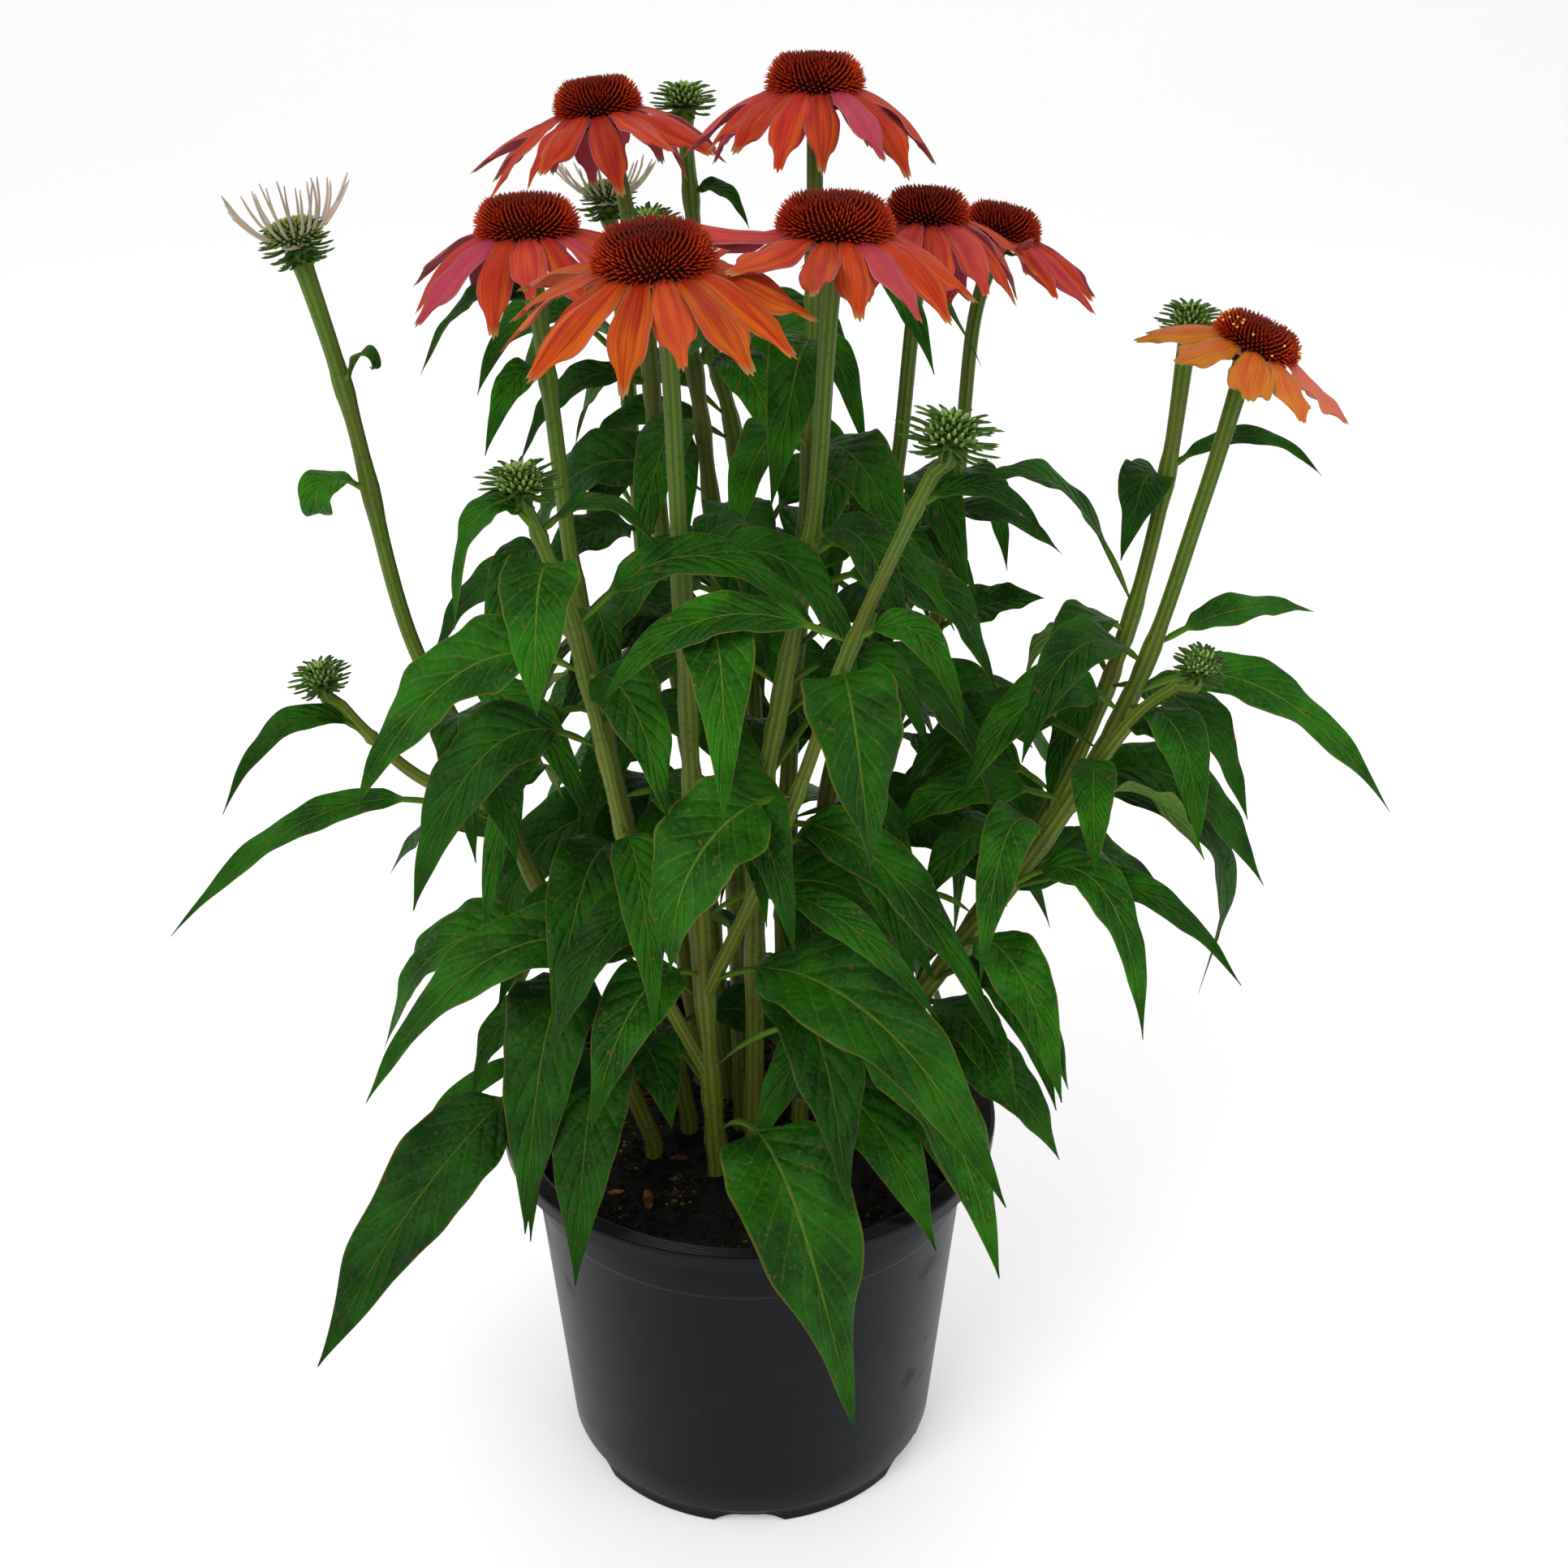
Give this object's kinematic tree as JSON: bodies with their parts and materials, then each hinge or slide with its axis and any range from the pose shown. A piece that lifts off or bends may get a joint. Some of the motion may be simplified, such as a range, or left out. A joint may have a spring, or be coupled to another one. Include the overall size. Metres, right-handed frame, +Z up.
{
  "type": "coneflower plant in nursery pot",
  "caption": "Garden coneflower with drooping orange-red petals round spiny rust cones, branching leafy stems and buds, growing in a round black nursery pot.",
  "frame": {"origin": "middle of the pot's underside, on the surface it stands on", "axes": "+Z up along the pot's axis, -Y towards the plant's front as pictured, +X to its right"},
  "size_m": [0.4414, 0.325, 0.53],
  "materials": {
    "pot_plastic": "matte moulded recycled plastic with a faint sheen",
    "potting_soil": "damp crumbly potting soil with moss and bark bits",
    "foliage": "satin leaf green with paler veins and hairy stems",
    "petals_red": "satin orange-red petals with pink edges",
    "petals_yellow": "satin yellow-orange petals with pink edges",
    "petals_young": "pale green young petals",
    "cone_rust": "rust cone with orange-brown spines",
    "cone_young": "greenish young cone",
    "bud_green": "pale green closed bud"
  },
  "bodies": {
    "root": {"pot": "pot_plastic", "soil": "potting_soil", "shoot_centre": "foliage", "shoot_left": "foliage", "shoot_inner_left": "foliage", "shoot_back_left": "foliage", "shoot_back_middle": "foliage", "shoot_middle": "foliage", "shoot_back_tall": "foliage", "shoot_inner_right": "foliage", "shoot_mid_right": "foliage", "shoot_back_right": "foliage", "shoot_right": "foliage", "shoot_outer_right": "foliage", "shoot_rear_left": "foliage", "petals_centre": "petals_red", "cone_centre": "cone_rust", "petals_inner_right": "petals_red", "cone_inner_right": "cone_rust", "petals_inner_left": "petals_red", "cone_inner_left": "cone_rust", "petals_back_left": "petals_red", "cone_back_left": "cone_rust", "petals_back_tall": "petals_red", "cone_back_tall": "cone_rust", "petals_mid_right": "petals_red", "cone_mid_right": "cone_rust", "petals_back_right": "petals_red", "cone_back_right": "cone_rust", "petals_right": "petals_yellow", "cone_right": "cone_rust", "petals_left": "petals_young", "cone_left": "cone_young", "petals_rear_left": "petals_young", "cone_rear_left": "cone_young", "bud_centre_front": "bud_green", "bud_centre_left": "bud_green", "bud_left_low": "bud_green", "bud_back_middle": "bud_green", "bud_middle": "bud_green", "bud_right_low": "bud_green", "bud_outer_right": "bud_green"}
  },
  "joints": []
}
